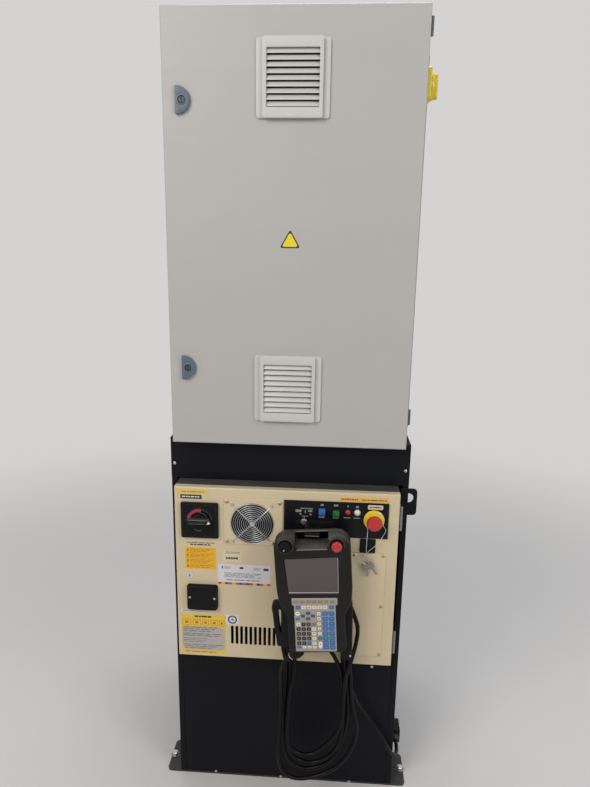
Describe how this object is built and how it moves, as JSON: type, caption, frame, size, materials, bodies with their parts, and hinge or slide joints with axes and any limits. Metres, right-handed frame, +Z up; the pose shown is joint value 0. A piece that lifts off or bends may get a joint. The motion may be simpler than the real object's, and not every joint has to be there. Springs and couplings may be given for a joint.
{
  "type": "robot controller cabinet",
  "caption": "Robot controller with a hinged cream door and a hanging teach pendant, in a dark floor stand that carries a tall hinged electrical enclosure.",
  "frame": {"origin": "on the floor at the centre of the stand's footprint, on the underside of the base plate", "axes": "+Z up, -Y towards the front where the doors and the pendant are, +X to the right seen from the front"},
  "size_m": [0.714, 0.6676, 2.0625],
  "materials": {
    "dark_paint": "satin blue-black powder coat",
    "shell_paint": "dark grey powder coat",
    "cream_paint": "satin cream powder coat",
    "grey_paint": "fine-textured light grey powder coat",
    "grey_plastic": "moulded light grey plastic",
    "slate_plastic": "moulded slate grey plastic",
    "black_plastic": "moulded black plastic",
    "red_plastic": "moulded red plastic",
    "yellow_plastic": "moulded yellow plastic",
    "blue_plastic": "translucent blue plastic",
    "green_plastic": "translucent green plastic",
    "white_plastic": "translucent white plastic",
    "screen_glass": "dark screen glass",
    "keypad_film": "printed keypad film",
    "cable_jacket": "black cable jacket",
    "bright_steel": "bright steel",
    "zinc_plate": "zinc-plated sheet"
  },
  "bodies": {
    "root": {"base_plate": "dark_paint", "stand_side_left": "dark_paint", "stand_side_right": "dark_paint", "lower_panel": "dark_paint", "upper_panel": "dark_paint", "stand_top": "dark_paint", "shelf": "dark_paint", "stand_back": "dark_paint", "rear_frame": "dark_paint", "lifting_lug": "dark_paint", "cable_gland": "black_plastic", "controller_shell": "shell_paint", "controller_hinge_upper": "bright_steel", "controller_hinge_lower": "bright_steel", "enclosure_body": "grey_paint", "mounting_plate": "zinc_plate", "enclosure_hinge_lower": "slate_plastic", "enclosure_hinge_upper": "slate_plastic", "isolator_base": "yellow_plastic", "pendant_cable_tail": "cable_jacket"},
    "controller_door": {"controller_door": "cream_paint", "operator_panel": "black_plastic", "stop_collar": "yellow_plastic", "red_lamp": "red_plastic", "white_lamp": "white_plastic", "breaker_base": "black_plastic", "fan_plate": "cream_paint", "fan_guard": "bright_steel", "cooling_fan": "black_plastic", "socket_cover": "black_plastic", "port_cover": "black_plastic", "pendant_holder": "cream_paint", "keys": "bright_steel", "key_tether": "bright_steel", "pendant_body": "black_plastic", "pendant_screen": "screen_glass", "pendant_keypad": "keypad_film", "pendant_stop": "red_plastic", "pendant_switch": "black_plastic", "strain_relief": "black_plastic", "pendant_cable_coil": "cable_jacket", "pendant_cable_drop": "cable_jacket"},
    "breaker_handle": {"breaker_handle": "black_plastic"},
    "reset_button": {"reset_button": "blue_plastic"},
    "start_button": {"start_button": "green_plastic"},
    "stop_button": {"stop_button": "red_plastic"},
    "mode_switch": {"mode_switch": "bright_steel"},
    "enclosure_door": {"enclosure_door": "grey_paint", "latch_plate_upper": "slate_plastic", "latch_plate_lower": "slate_plastic", "filter_fan_upper": "grey_plastic", "filter_outlet_lower": "grey_plastic"},
    "lock_upper": {"lock_upper": "slate_plastic"},
    "lock_lower": {"lock_lower": "slate_plastic"},
    "isolator_handle": {"isolator_handle": "yellow_plastic"}
  },
  "joints": [
    {"name": "controller_door_hinge", "type": "hinge", "parent": "root", "child": "controller_door", "pos_m": [0.29305, -0.3, 0.45], "axis": [0, 0, 1], "range_deg": [0, 105]},
    {"name": "enclosure_door_hinge", "type": "hinge", "parent": "root", "child": "enclosure_door", "pos_m": [0.3003, -0.28, 1.0625], "axis": [0, 0, 1], "range_deg": [0, 120]},
    {"name": "breaker_turn", "type": "hinge", "parent": "controller_door", "child": "breaker_handle", "pos_m": [-0.2273, -0.3103, 0.8568], "axis": [0, -1, 0], "range_deg": [0, 90]},
    {"name": "mode_switch_turn", "type": "hinge", "parent": "controller_door", "child": "mode_switch", "pos_m": [0.0444, -0.3133, 0.8658], "axis": [0, -1, 0], "range_deg": [-45, 45]},
    {"name": "reset_press", "type": "slide", "parent": "controller_door", "child": "reset_button", "axis": [0, 1, 0], "range_m": [0, 0.003], "stiffness_N_per_m": 400, "springref_m": -0.001},
    {"name": "start_press", "type": "slide", "parent": "controller_door", "child": "start_button", "axis": [0, 1, 0], "range_m": [0, 0.003], "stiffness_N_per_m": 400, "springref_m": -0.001},
    {"name": "stop_press", "type": "slide", "parent": "controller_door", "child": "stop_button", "axis": [0, 1, 0], "range_m": [0, 0.004], "stiffness_N_per_m": 600, "springref_m": -0.001},
    {"name": "lock_upper_turn", "type": "hinge", "parent": "enclosure_door", "child": "lock_upper", "pos_m": [-0.25, -0.3003, 1.8691], "axis": [0, -1, 0], "range_deg": [0, 90]},
    {"name": "lock_lower_turn", "type": "hinge", "parent": "enclosure_door", "child": "lock_lower", "pos_m": [-0.25, -0.3003, 1.2582], "axis": [0, -1, 0], "range_deg": [0, 90]},
    {"name": "isolator_turn", "type": "hinge", "parent": "root", "child": "isolator_handle", "pos_m": [0.3133, -0.2, 1.9215], "axis": [1, 0, 0], "range_deg": [0, 90]}
  ]
}
